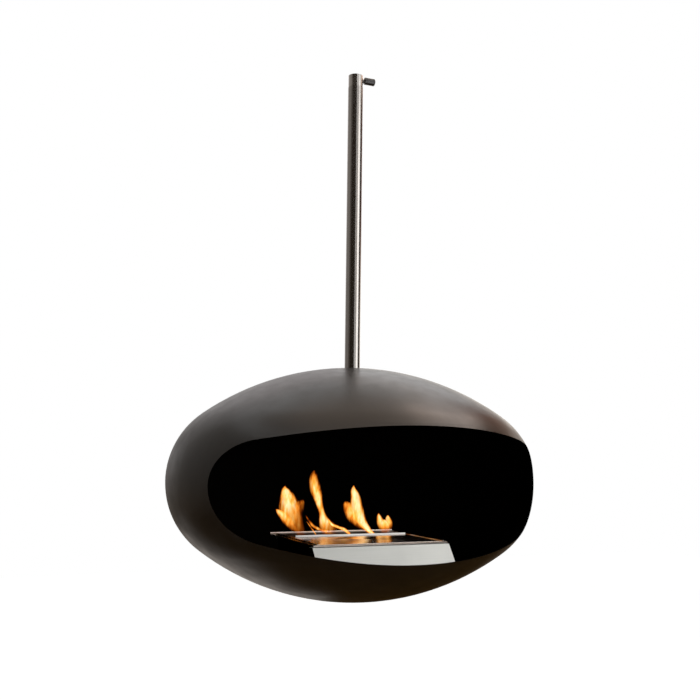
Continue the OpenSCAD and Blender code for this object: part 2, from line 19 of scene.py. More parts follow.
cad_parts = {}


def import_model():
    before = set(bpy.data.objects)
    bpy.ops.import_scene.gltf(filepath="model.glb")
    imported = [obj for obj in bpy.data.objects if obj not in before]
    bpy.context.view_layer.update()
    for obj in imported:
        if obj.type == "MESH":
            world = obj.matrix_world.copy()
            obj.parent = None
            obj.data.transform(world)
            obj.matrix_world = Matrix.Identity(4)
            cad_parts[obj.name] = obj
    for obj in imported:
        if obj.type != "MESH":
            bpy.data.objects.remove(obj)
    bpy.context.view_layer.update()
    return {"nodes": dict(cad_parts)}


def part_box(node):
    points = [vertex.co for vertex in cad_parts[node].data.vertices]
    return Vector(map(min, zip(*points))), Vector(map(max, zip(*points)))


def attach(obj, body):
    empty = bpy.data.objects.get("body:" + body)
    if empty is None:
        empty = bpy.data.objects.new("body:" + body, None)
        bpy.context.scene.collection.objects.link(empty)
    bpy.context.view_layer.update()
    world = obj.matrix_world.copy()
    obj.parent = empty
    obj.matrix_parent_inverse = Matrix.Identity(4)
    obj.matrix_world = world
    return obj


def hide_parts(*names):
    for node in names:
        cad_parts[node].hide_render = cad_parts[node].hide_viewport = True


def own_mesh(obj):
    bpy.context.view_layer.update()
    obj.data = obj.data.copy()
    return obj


LOG = logging.getLogger("fireplace")

Colour = tuple[float, float, float]
Socket = bpy.types.NodeSocket

EQUATOR = -1.034  # the height of the shell's widest ring
SAME_POINT = 1e-6  # the distance within which two vertices are one
WELD_GAP = 1e-5  # the distance within which the two spinnings' rims are joined
FLUSH_ANGLE = math.radians(0.6)  # facets that meet at less than this are one flat face
CORNER_ANGLE = math.radians(40.0)  # edges that turn by more than this are rounded
CREASE_ANGLE = math.radians(20)  # edges that turn by more than this are shaded sharp


# ---------------------------------------------------------------------------
# finishes


class Grain(Enum):
    """The way that a brushed surface's fine lines run, as texture units per metre on each axis."""

    ROUND_Z = (9.0, 9.0, 1500.0)
    ALONG_X = (7.0, 1900.0, 1900.0)
    NONE = (420.0, 420.0, 420.0)


class Blend(Enum):
    """What a Mix node mixes, with the places of its two inputs and of its output."""

    FLOAT = (2, 3, 0)
    RGBA = (6, 7, 2)


class Tree:
    """A shader's node tree with short ways to add nodes to it."""

    def __init__(self, tree: bpy.types.NodeTree) -> None:
        """Takes the tree up.

        Args:
            tree: The node tree of a material or of the world.
        """
        self.nodes = tree.nodes
        self.links = tree.links

    def add(self, kind: str, **settings: object) -> bpy.types.Node:
        """Adds a node.

        Args:
            kind: The node's type, without its ShaderNode prefix.
            **settings: Attributes to set on the node.

        Returns:
            The new node.
        """
        node = self.nodes.new("ShaderNode" + kind)
        for key, value in settings.items():
            setattr(node, key, value)
        return node

    def join(self, source: Socket, target: Socket) -> None:
        """Links one socket to another."""
        self.links.new(source, target)

    def place(self, scale: Sequence[float]) -> Socket:
        """Gives the object's own coordinates, scaled.

        Args:
            scale: Texture units per metre on each axis.

        Returns:
            The scaled coordinates.
        """
        mapping = self.add("Mapping")
        mapping.inputs["Scale"].default_value = scale
        self.join(self.add("TexCoord").outputs["Object"], mapping.inputs["Vector"])
        return mapping.outputs["Vector"]

    def height(self) -> Socket:
        """Gives the height on the object.

        Returns:
            The height in metres.
        """
        parts = self.add("SeparateXYZ")
        self.join(self.place((1.0, 1.0, 1.0)), parts.inputs[0])
        return parts.outputs["Z"]

    def noise(self, scale: Sequence[float], detail: float = 3.0) -> Socket:
        """Gives a noise value over the object.

        Args:
            scale: Texture units per metre on each axis.
            detail: Octaves of the noise.

        Returns:
            The noise's factor.
        """
        noise = self.add("TexNoise")
        noise.inputs["Scale"].default_value = 1.0
        noise.inputs["Detail"].default_value = detail
        self.join(self.place(scale), noise.inputs["Vector"])
        return noise.outputs["Fac"]

    def spread(self, source: Socket, low: float, high: float, start: float = 0.3, end: float = 0.7) -> Socket:
        """Maps a value from one range to another.

        Args:
            source: The value.
            low: The result at the range's start.
            high: The result at the range's end.
            start: Where the range starts.
            end: Where the range ends.

        Returns:
            The mapped value.
        """
        node = self.add("MapRange", clamp=True)
        for key, value in (("From Min", start), ("From Max", end), ("To Min", low), ("To Max", high)):
            node.inputs[key].default_value = value
        self.join(source, node.inputs["Value"])
        return node.outputs["Result"]

    def ramp(self, source: Socket, stops: Sequence[tuple[float, Colour]]) -> Socket:
        """Turns a value into a colour.

        Args:
            source: The value.
            stops: Positions and their colours.

        Returns:
            The colour.
        """
        node = self.add("ValToRGB")
        band = node.color_ramp.elements
        while len(band) < len(stops):
            band.new(0.5)
        for element, (position, colour) in zip(band, stops):
            element.position = position
            element.color = (*colour, 1.0)
        self.join(source, node.inputs["Fac"])
        return node.outputs["Color"]

    def work_out(self, operation: str, first: Socket, second: Socket | float) -> Socket:
        """Makes one value of two.

        Args:
            operation: The Math node's operation.
            first: The first value.
            second: The second value, from a socket or as a plain number.

        Returns:
            The result.
        """
        node = self.add("Math", operation=operation)
        self.join(first, node.inputs[0])
        if isinstance(second, float):
            node.inputs[1].default_value = second
        else:
            self.join(second, node.inputs[1])
        return node.outputs[0]

    def mix(self, kind: Blend, share: float, first: Socket, second: Socket, **settings: object) -> Socket:
        """Mixes two values or two colours.

        Args:
            kind: What is mixed.
            share: The second one's share.
            first: The first value or colour.
            second: The second one.
            **settings: Other attributes to set on the node.

        Returns:
            The mixture.
        """
        node = self.add("Mix", data_type=kind.name, **settings)
        node.inputs["Factor"].default_value = share
        one, other, result = kind.value
        self.join(first, node.inputs[one])
        self.join(second, node.inputs[other])
        return node.outputs[result]

    def in_view(self) -> Socket:
        """Tells the light that reaches the camera plainly, mirrored or through glass from the light on the object.

        Returns:
            1 for the first and 0 for the second.
        """
        path = self.add("LightPath")
        seen = self.work_out("MAXIMUM", path.outputs["Is Camera Ray"], path.outputs["Is Glossy Ray"])
        return self.work_out("MAXIMUM", seen, path.outputs["Is Transmission Ray"])


class Surface(Tree):
    """A new material."""

    def __init__(self, name: str) -> None:
        """Starts the material.

        Args:
            name: The material's name.
        """
        self.material = bpy.data.materials.new(name)
        self.material.use_nodes = True
        super().__init__(self.material.node_tree)
        self.shader = self.nodes["Principled BSDF"]

    def bump(self, height: Socket, depth: float) -> None:
        """Raises the surface by a height texture.

        Args:
            height: The height, from 0 to 1.
            depth: The relief in metres.
        """
        node = self.add("Bump")
        node.inputs["Strength"].default_value = 1.0
        node.inputs["Distance"].default_value = depth
        self.join(height, node.inputs["Height"])
        self.join(node.outputs["Normal"], self.shader.inputs["Normal"])

    def lantern(self) -> bpy.types.Node:
        """Makes the material give plain light in place of its shader.

        Returns:
            Its Emission node.
        """
        glow = self.add("Emission")
        self.join(glow.outputs[0], self.nodes["Material Output"].inputs["Surface"])
        return glow


@dataclass(frozen=True)
class Paint:
    """A painted or blackened surface with a fine texture and slight wear.

    Attributes:
        name: The material's name.
        colour: The main colour.
        worn: The colour of its thinner patches.
        gloss: The lowest and the highest roughness.
        specular: The shader's specular level.
        texture: Texture units per metre of the fine relief.
        depth: The relief in metres.
        patch: Texture units per metre of the thinner patches.
        sheen: Texture units per metre of the changes in roughness.
    """

    name: str
    colour: Colour
    worn: Colour
    gloss: tuple[float, float]
    specular: float = 0.5
    texture: float = 900.0
    depth: float = 0.00002
    patch: float = 7.0
    sheen: float = 26.0

    def build(self) -> bpy.types.Material:
        """Builds the finish.

        Returns:
            The finished material.
        """
        surface = Surface(self.name)
        patches = surface.noise((self.patch,) * 3, 5.0)
        colour = surface.ramp(patches, ((0.35, self.colour), (0.7, self.worn)))
        surface.join(colour, surface.shader.inputs["Base Color"])
        rough = surface.spread(surface.noise((self.sheen,) * 3), *self.gloss)
        surface.join(rough, surface.shader.inputs["Roughness"])
        surface.shader.inputs["Specular IOR Level"].default_value = self.specular
        surface.bump(surface.noise((self.texture,) * 3, 2.0), self.depth)
        return surface.material


@dataclass(frozen=True)
class BrushedMetal:
    """Bare metal with a directional grain.

    Attributes:
        name: The material's name.
        colour: The metal's colour.
        shade: The colour of its duller patches.
        grain: The way the lines run.
        gloss: The lowest and the highest roughness.
        depth: The lines' relief in metres.
        metal: How far the surface acts as bare metal.
        soot_and_shade: The heights between which the darkening at the piece's foot, soot with painted shade where
            it meets the plate, gives way to clean metal, where the piece has any.
        soot_and_shade_share: The share of the colour that is left under the soot and painted shade.
        cloud: Texture units per metre of the broad clouds.
        clouded: The clouds' share beside the fine lines.
    """

    name: str
    colour: Colour
    shade: Colour
    grain: Grain
    gloss: tuple[float, float]
    depth: float = 0.000004
    metal: float = 1.0
    soot_and_shade: tuple[float, float] | None = None
    soot_and_shade_share: float = 0.12
    cloud: float = 11.0
    clouded: float = 0.45

    def build(self) -> bpy.types.Material:
        """Builds the finish.

        Returns:
            The finished material.
        """
        surface = Surface(self.name)
        lines = surface.noise(self.grain.value, 4.0)
        clouds = surface.noise((self.cloud,) * 3, 4.0)
        blend = surface.mix(Blend.FLOAT, self.clouded, lines, clouds)
        colour = surface.ramp(blend, ((0.35, self.shade), (0.62, self.colour)))
        # Darker towards the foot: soot with painted shade where the piece meets the plate.
        if self.soot_and_shade:
            clean = surface.spread(surface.height(), self.soot_and_shade_share, 1.0, *self.soot_and_shade)
            colour = surface.mix(Blend.RGBA, 1.0, colour, clean, blend_type="MULTIPLY")
        surface.join(colour, surface.shader.inputs["Base Color"])
        surface.join(surface.spread(blend, self.gloss[1], self.gloss[0]), surface.shader.inputs["Roughness"])
        surface.shader.inputs["Metallic"].default_value = self.metal
        surface.bump(lines, self.depth)
        return surface.material


@dataclass(frozen=True)
class CeramicFibre:
    """The pale pressed fibre of the absorbent block, tinted where it has been hot.

    Attributes:
        name: The material's name.
        colour: The colour of clean fibre.
        scorched: The colour of its hottest patches.
        patch: Texture units per metre of the hot patches.
        fibre: Texture units per metre of the fibres on each axis.
        depth: The fibres' relief in metres.
        rough: The roughness.
    """

    name: str = "ceramic_fibre"
    colour: Colour = (0.62, 0.59, 0.54)
    scorched: Colour = (0.30, 0.22, 0.15)
    patch: float = 22.0
    fibre: tuple[float, float, float] = (700.0, 700.0, 260.0)
    depth: float = 0.0006
    rough: float = 0.95

    def build(self) -> bpy.types.Material:
        """Builds the finish.

        Returns:
            The finished material.
        """
        surface = Surface(self.name)
        patches = surface.noise((self.patch,) * 3, 6.0)
        colour = surface.ramp(patches, ((0.4, self.colour), (0.75, self.scorched)))
        surface.join(colour, surface.shader.inputs["Base Color"])
        surface.shader.inputs["Roughness"].default_value = self.rough
        surface.bump(surface.noise(self.fibre, 5.0), self.depth)
        return surface.material


@dataclass(frozen=True)
class FlameGlow:
    """The glow of a flame: pale where it is thick and hot, orange at its edges, and thin at its foot.

    Attributes:
        name: The material's name.
        strength: The light's strength.
        lick: The licks' texture units per metre on each axis.
        flicker: The most that a lick takes from the heat, and the most that it adds.
        cold_foot: The share of its heat that a flame has at its very foot.
        fading: The power by which a foot thins out.
        body: The flame's solidity where it burns hot.
        glow: The heats and the colours of their light.
    """

    name: str = "flame_glow"
    strength: float = 2.1
    lick: tuple[float, float, float] = (110.0, 110.0, 34.0)
    flicker: tuple[float, float] = (-0.42, 0.52)
    cold_foot: float = 0.22
    fading: float = 1.2
    body: float = 0.42
    glow: tuple[tuple[float, Colour], ...] = (
        (0.08, (0.18, 0.018, 0.0008)),
        (0.28, (0.50, 0.0875, 0.0033)),
        (0.48, (0.82, 0.225, 0.015)),
        (0.66, (1.0, 0.40, 0.058)),
        (0.84, (1.0, 0.60, 0.183)),
        (1.0, (1.0, 0.77, 0.42)),
    )

    def build(self) -> bpy.types.Material:
        """Builds the finish.

        Returns:
            The finished material.
        """
        surface = Surface(self.name)
        warmth = surface.add("Attribute", attribute_name="warmth").outputs["Fac"]
        rise = surface.add("Attribute", attribute_name="rise").outputs["Fac"]
        licks = surface.spread(surface.noise(self.lick, 3.0), *self.flicker, 0.25, 0.75)
        lit = surface.spread(rise, self.cold_foot, 1.0, 0.0, 0.9)
        heat = surface.work_out("MULTIPLY", surface.work_out("ADD", warmth, licks), lit)
        colour = surface.ramp(surface.spread(heat, 0.0, 1.0, 0.0, 1.2), self.glow)
        foot = surface.work_out("POWER", rise, self.fading)
        edge = surface.spread(warmth, 0.0, 1.0, 0.08, 0.7)
        solid = surface.spread(heat, 0.0, self.body, 0.0, 0.6)
        alpha = surface.work_out("MULTIPLY", surface.work_out("MULTIPLY", foot, edge), solid)
        surface.join(colour, surface.shader.inputs["Emission Color"])
        surface.join(alpha, surface.shader.inputs["Alpha"])
        surface.shader.inputs["Base Color"].default_value = (0.0, 0.0, 0.0, 1.0)
        surface.shader.inputs["Specular IOR Level"].default_value = 0.0
        surface.shader.inputs["Roughness"].default_value = 1.0
        surface.shader.inputs["Emission Strength"].default_value = self.strength
        return surface.material


SHELL_PAINT = Paint("shell_paint", (0.0075, 0.0046, 0.0019), (0.0105, 0.0067, 0.0032), (0.28, 0.36))
# The inside's black paint, made far darker than paint and nearly without gloss as painted shade.
SHELL_BLACK_AND_SHADE = Paint(
    "shell_black_and_shade", (0.0011, 0.0010, 0.0009), (0.0020, 0.0017, 0.0015), (0.7, 0.85), 0.03, 500.0, 0.00004
)
# Black paint made near black and nearly without gloss as painted shade, for the casing and the front plate's ends.
CASING_BLACK_AND_SHADE = Paint("casing_black", (0.0012, 0.0011, 0.0010), (0.0025, 0.0022, 0.0020), (0.55, 0.7), 0.05)
PRIMER_BLACK = Paint("primer_black", (0.020, 0.018, 0.017), (0.032, 0.029, 0.027), (0.55, 0.7), 0.35)
RUBBER = Paint("black_rubber", (0.012, 0.012, 0.012), (0.020, 0.020, 0.020), (0.7, 0.85), 0.3, 1400.0, 0.00005)
KNOB_BLACK = Paint("knob_black", (0.008, 0.006, 0.005), (0.014, 0.011, 0.009), (0.2, 0.26), 1.0)
TUBE_STEEL = BrushedMetal(
    "tube_steel", (0.42, 0.395, 0.37), (0.385, 0.36, 0.335), Grain.ROUND_Z, (0.2, 0.206), 0.0000003
)
HEAD_STEEL = BrushedMetal(
    "head_steel", (0.56, 0.53, 0.50), (0.51, 0.48, 0.45), Grain.ROUND_Z, (0.177, 0.183), 0.0000003
)
MIRROR_STEEL = BrushedMetal(
    "mirror_steel", (0.72, 0.63, 0.56), (0.66, 0.57, 0.50), Grain.ALONG_X, (0.18, 0.25), 0.000001
)
# Darker at the upstand's foot: soot with painted shade where it meets the plate.
EDGE_STEEL = BrushedMetal(
    "edge_steel", (0.95, 0.93, 0.90), (0.88, 0.86, 0.83), Grain.ALONG_X, (0.42, 0.5),
    metal=0.1, soot_and_shade=(EQUATOR - 0.1325, EQUATOR - 0.1305),
)
FASCIA_STEEL = BrushedMetal(
    "fascia_steel", (0.74, 0.74, 0.695), (0.66, 0.66, 0.62), Grain.ALONG_X, (0.42, 0.5), 0.000006, 0.15
)
# Dark steel: soot on the reservoir, and soot with painted shade on the plate's strip behind the slot.
SOOT_AND_SHADE_STEEL = BrushedMetal("soot_and_shade_steel", (0.085, 0.06, 0.045), (0.05, 0.035, 0.028), Grain.ALONG_X, (0.45, 0.6))
TINTED_STEEL = BrushedMetal("tinted_steel", (0.46, 0.42, 0.38), (0.26, 0.20, 0.19), Grain.NONE, (0.28, 0.4))
TURNED_STEEL = BrushedMetal("turned_steel", (0.56, 0.55, 0.54), (0.48, 0.47, 0.46), Grain.ROUND_Z, (0.25, 0.35))
BRONZE = BrushedMetal("bronze", (0.58, 0.38, 0.17), (0.46, 0.29, 0.12), Grain.ROUND_Z, (0.25, 0.36))


# ---------------------------------------------------------------------------
# mesh work


def show(bm: bmesh.types.BMesh, name: str, body: str, materials: Sequence[bpy.types.Material]) -> bpy.types.Object:
    """Turns a bmesh into a piece that rides on a body.

    Args:
        bm: The mesh, which is freed.
        name: The piece's name.
        body: The body it moves with.
        materials: Its material slots.

    Returns:
        The new piece.
    """
    bmesh.ops.recalc_face_normals(bm, faces=bm.faces[:])
    mesh = bpy.data.meshes.new(name)
    bm.to_mesh(mesh)
    bm.free()
    for material in materials:
        mesh.materials.append(material)
    piece = bpy.data.objects.new(name, mesh)
    bpy.context.scene.collection.objects.link(piece)
    mesh.shade_smooth()
    mesh.set_sharp_from_angle(angle=CREASE_ANGLE)
    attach(piece, body)
    return piece


def merged(nodes: Sequence[bpy.types.Object]) -> bmesh.types.BMesh:
    """Copies CAD meshes into one bmesh with their split vertices joined.

    Args:
        nodes: The CAD objects.

    Returns:
        The joined mesh.
    """
    bm = bmesh.new()
    for node in nodes:
        bm.from_mesh(node.data)
    bmesh.ops.remove_doubles(bm, verts=bm.verts[:], dist=SAME_POINT)
    return bm


def rounded(bm: bmesh.types.BMesh, width: float) -> None:
    """Rounds a mesh's sharp edges.

    Args:
        bm: The mesh.
        width: The rounding's width in metres.
    """
    bmesh.ops.dissolve_limit(bm, angle_limit=FLUSH_ANGLE, verts=bm.verts[:], edges=bm.edges[:])
    edges = [edge for edge in bm.edges if len(edge.link_faces) == 2 and edge.calc_face_angle(0.0) > CORNER_ANGLE]
    bmesh.ops.bevel(
        bm, geom=edges, offset=width, segments=2, profile=0.5, affect="EDGES", clamp_overlap=True, material=-1
    )


def dress(nodes: dict[str, bpy.types.Object], material: bpy.types.Material, *names: str) -> None:
    """Gives CAD parts a finish in place of their plain one.

    Args:
        nodes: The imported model's parts.
        material: The finish.
        *names: The parts that get it.
    """
    for name in names:
        nodes[name].data.materials.clear()
        nodes[name].data.materials.append(material)


# ---------------------------------------------------------------------------
# sub-assemblies


@dataclass
class Shell:
    """The two spinnings of the shell, shown as one skin because the weld between them is ground flush.

    Attributes:
        nodes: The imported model's parts.
        inward: How squarely a face looks at the shell's centre, from 0 to 1, where it counts as its inside.
    """

    nodes: dict[str, bpy.types.Object]
    inward: float = 0.3

    def build(self) -> list[bpy.types.Object]:
        """Builds the skin, painted outside and, inside, black darkened to near black as painted shade.

        Returns:
            The new piece.
        """
        bm = merged([self.nodes["upper_shell"], self.nodes["lower_shell"]])
        seam = [face for face in bm.faces if all(abs(vert.co.z - EQUATOR) < SAME_POINT for vert in face.verts)]
        bmesh.ops.delete(bm, geom=seam, context="FACES_ONLY")
        bmesh.ops.remove_doubles(bm, verts=bm.verts[:], dist=WELD_GAP)
        centre = Vector((0.0, 0.0, EQUATOR))
        bm.normal_update()
        for face in bm.faces:
            outward = (face.calc_center_median() - centre).normalized().dot(face.normal)
            # Faces that look inward get the near-black inside: black paint with painted shade.
            face.material_index = int(outward < -self.inward)
        skin = show(bm, "shell_skin", "hanger", [SHELL_PAINT.build(), SHELL_BLACK_AND_SHADE.build()])
        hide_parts("upper_shell", "lower_shell")
        return [skin]


@dataclass
class Suspension:
    """The swivel head, its lock, the pole and its foot.

    Attributes:
        nodes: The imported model's parts.
    """

    nodes: dict[str, bpy.types.Object]

    def build(self) -> list[bpy.types.Object]:
        """Dresses the parts.

        Returns:
            Nothing, as it adds no piece.
        """
        dress(
            self.nodes, TURNED_STEEL.build(),
            "ceiling_spigot", "lock_screw", "foot_washer", "foot_nut", "foot_lock_nut",
        )
        dress(self.nodes, BRONZE.build(), "thrust_washer", "lock_pad")
        dress(self.nodes, PRIMER_BLACK.build(), "pole_foot_plug", "tie_stud", "crown_disc")
        dress(self.nodes, TUBE_STEEL.build(), "pole_tube")
        dress(self.nodes, HEAD_STEEL.build(), "swivel_head")
        dress(self.nodes, KNOB_BLACK.build(), "lock_knob")
        return []


@dataclass
class Cradle:
    """The saddles, bars and pads under the burner.

    Attributes:
        nodes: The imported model's parts.
    """

    nodes: dict[str, bpy.types.Object]

    def build(self) -> list[bpy.types.Object]:
        """Dresses the parts.

        Returns:
            Nothing, as it adds no piece.
        """
        dress(self.nodes, PRIMER_BLACK.build(), "front_saddle", "rear_saddle", "cradle_bars")
        dress(self.nodes, TURNED_STEEL.build(), "cradle_bolts", "cradle_nuts")
        dress(self.nodes, RUBBER.build(), "rubber_pads")
        return []


@dataclass
class Burner:
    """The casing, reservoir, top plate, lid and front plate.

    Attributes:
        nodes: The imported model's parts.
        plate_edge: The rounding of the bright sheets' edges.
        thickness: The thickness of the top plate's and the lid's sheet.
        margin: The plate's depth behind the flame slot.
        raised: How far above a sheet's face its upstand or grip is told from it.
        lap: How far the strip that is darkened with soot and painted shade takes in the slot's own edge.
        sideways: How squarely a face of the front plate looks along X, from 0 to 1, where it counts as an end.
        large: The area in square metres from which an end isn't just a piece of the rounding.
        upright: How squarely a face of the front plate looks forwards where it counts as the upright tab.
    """

    nodes: dict[str, bpy.types.Object]
    plate_edge: float = 0.0004
    thickness: float = 0.002
    margin: float = 0.016
    raised: float = 0.0004
    lap: float = 0.0005
    sideways: float = 0.8
    large: float = 1e-5
    upright: float = 0.95

    def sheet(
        self, node: str, name: str, body: str, finishes: Sequence[bpy.types.Material],
        choose: Callable[[bmesh.types.BMFace], int], cut: float | None = None,
    ) -> bpy.types.Object:
        """Shows a sheet part with rounded edges and a finish chosen face by face.

        Args:
            node: The CAD part it stands for.
            name: The piece's name.
            body: The body it rides on.
            finishes: Its materials.
            choose: Gives the material's index for a face.
            cut: The place along Y where its faces are divided, so that the finish can change there.

        Returns:
            The new piece.
        """
        bm = merged([self.nodes[node]])
        rounded(bm, self.plate_edge)
        if cut is not None:
            bmesh.ops.bisect_plane(
                bm, geom=[*bm.verts, *bm.edges, *bm.faces], plane_co=(0.0, cut, 0.0), plane_no=(0.0, 1.0, 0.0)
            )
        bm.normal_update()
        for face in bm.faces:
            face.material_index = choose(face)
        piece = show(bm, name, body, finishes)
        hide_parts(node)
        return piece

    def build(self) -> list[bpy.types.Object]:
        """Dresses the parts and shows the bright sheets with rounded edges.

        Returns:
            The new pieces.
        """
        mirror, bright, turned = MIRROR_STEEL.build(), FASCIA_STEEL.build(), TURNED_STEEL.build()
        edge, black_and_shade, soot_and_shade = EDGE_STEEL.build(), CASING_BLACK_AND_SHADE.build(), SOOT_AND_SHADE_STEEL.build()
        plate_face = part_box("top_plate")[0].z + self.thickness + self.raised
        lid_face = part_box("sliding_lid")[0].z + self.thickness + self.raised
        slot_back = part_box("top_plate")[1].y - self.margin

        def plate_finish(face: bmesh.types.BMFace) -> int:
            """Tells the top plate's finishes apart.

            Args:
                face: A face of the plate.

            Returns:
                0 for the mirrored sheet, 1 for its upstand and 2 for the strip behind the slot, darkened with soot
                and painted shade.
            """
            centre = face.calc_center_median()
            if centre.z > plate_face:
                return 1
            return 2 if centre.y > slot_back - self.lap else 0

        def lid_finish(face: bmesh.types.BMFace) -> int:
            """Gives 0 for the mirrored sheet and 1 for its grip."""
            return int(face.calc_center_median().z > lid_face)

        def front_finish(face: bmesh.types.BMFace) -> int:
            """Gives 0 for the bright slope and 1 for the ends and the upright tab behind it, near black as painted
            shade.
            """
            end = abs(face.normal.x) > self.sideways and face.calc_area() > self.large
            return int(end or face.normal.y < -self.upright)

        pieces = [
            self.sheet(
                "top_plate", "plate_bright", "burner", [mirror, edge, soot_and_shade], plate_finish, slot_back
            ),
            self.sheet("sliding_lid", "lid_bright", "lid", [mirror, edge], lid_finish),
            self.sheet("front_fascia", "front_plate", "burner", [bright, black_and_shade], front_finish),
        ]
        dress(self.nodes, mirror, "lid_guides")
        # The casing is near black: its black paint with painted shade.
        dress(self.nodes, black_and_shade, "burner_casing")
        dress(self.nodes, soot_and_shade, "fuel_reservoir")
        dress(self.nodes, CeramicFibre().build(), "absorbent_block")
        dress(self.nodes, TINTED_STEEL.build(), "retaining_grid")
        dress(self.nodes, turned, "plate_screws", "plate_nuts", "fascia_screws", "fascia_nuts")
        return pieces


@dataclass(frozen=True)
class Tongue:
    """One tongue of flame.

    Attributes:
        back: Its distance behind the pole's axis plane, along +Y, in millimetres.
        stations: From tip to foot, each the place along X, the height above the equator and the half width, in
            millimetres.
        fade: The share of its height over which its foot fades out.
        heat: How hot it burns, where 1 is a full flame.
        tip: The share of its height over which it warms up from its tip.
    """

    back: float
    stations: tuple[tuple[float, float, float], ...]
    fade: float
    heat: float
    tip: float = 0.17


